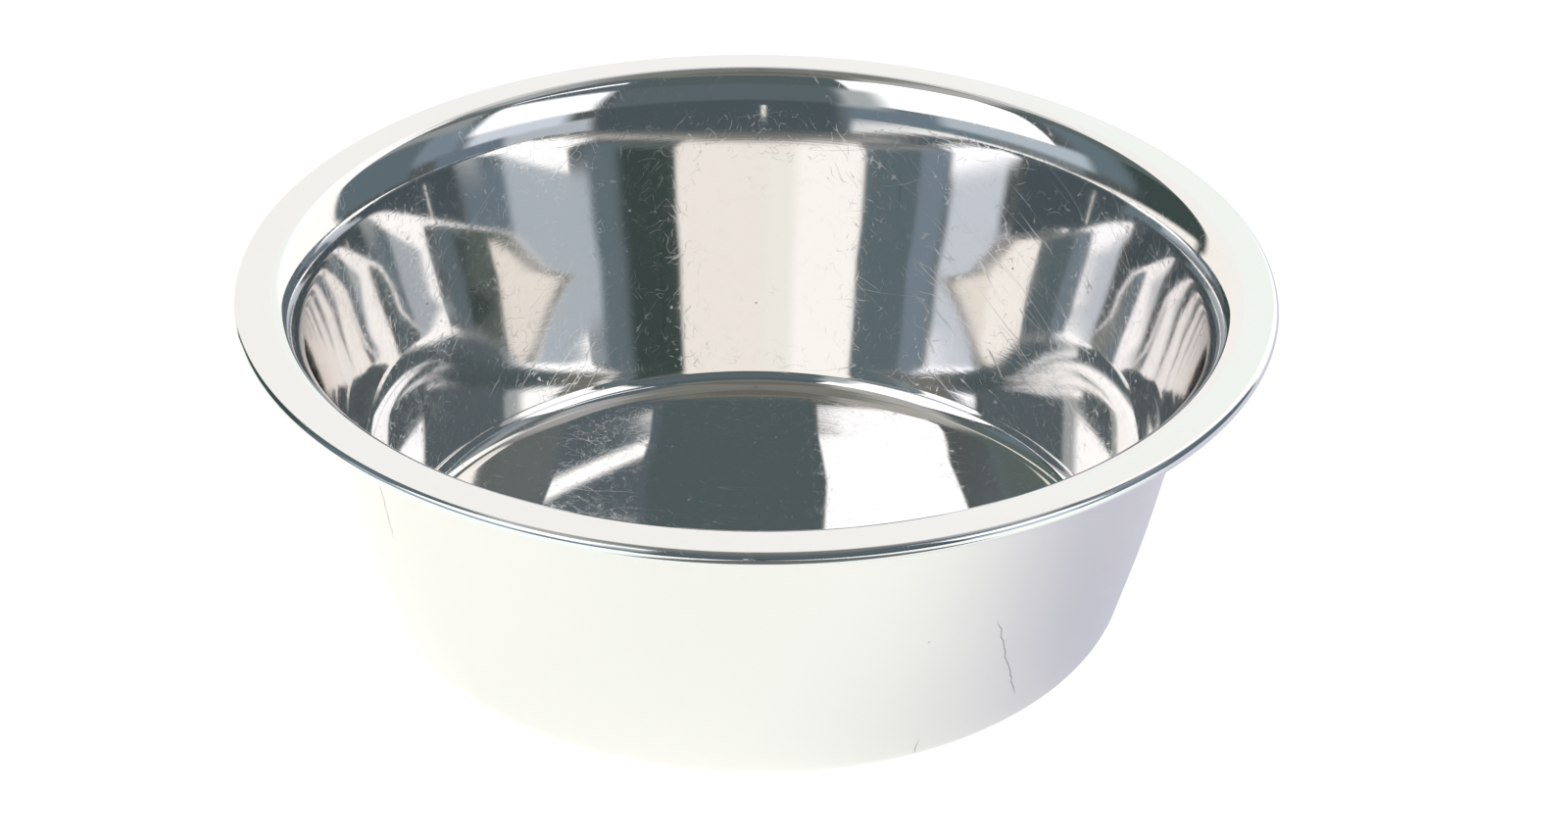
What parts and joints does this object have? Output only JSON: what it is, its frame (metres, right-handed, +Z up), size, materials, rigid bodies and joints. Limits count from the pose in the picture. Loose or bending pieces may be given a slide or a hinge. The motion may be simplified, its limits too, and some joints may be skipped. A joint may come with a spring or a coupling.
{
  "type": "pet bowl",
  "caption": "Round polished metal bowl with sloping wall, rounded base corner and flat rim with rolled edge, for pet food or water.",
  "frame": {"origin": "centre of the flat underside of the base, where the bowl stands", "axes": "+Z up along the bowl's axis of revolution; the bowl is round, so +X and +Y are any two directions across it"},
  "size_m": [0.17, 0.17, 0.0573],
  "materials": {
    "polished_steel": "mirror polished stainless steel"
  },
  "bodies": {
    "root": {"bowl": "polished_steel"}
  },
  "joints": []
}
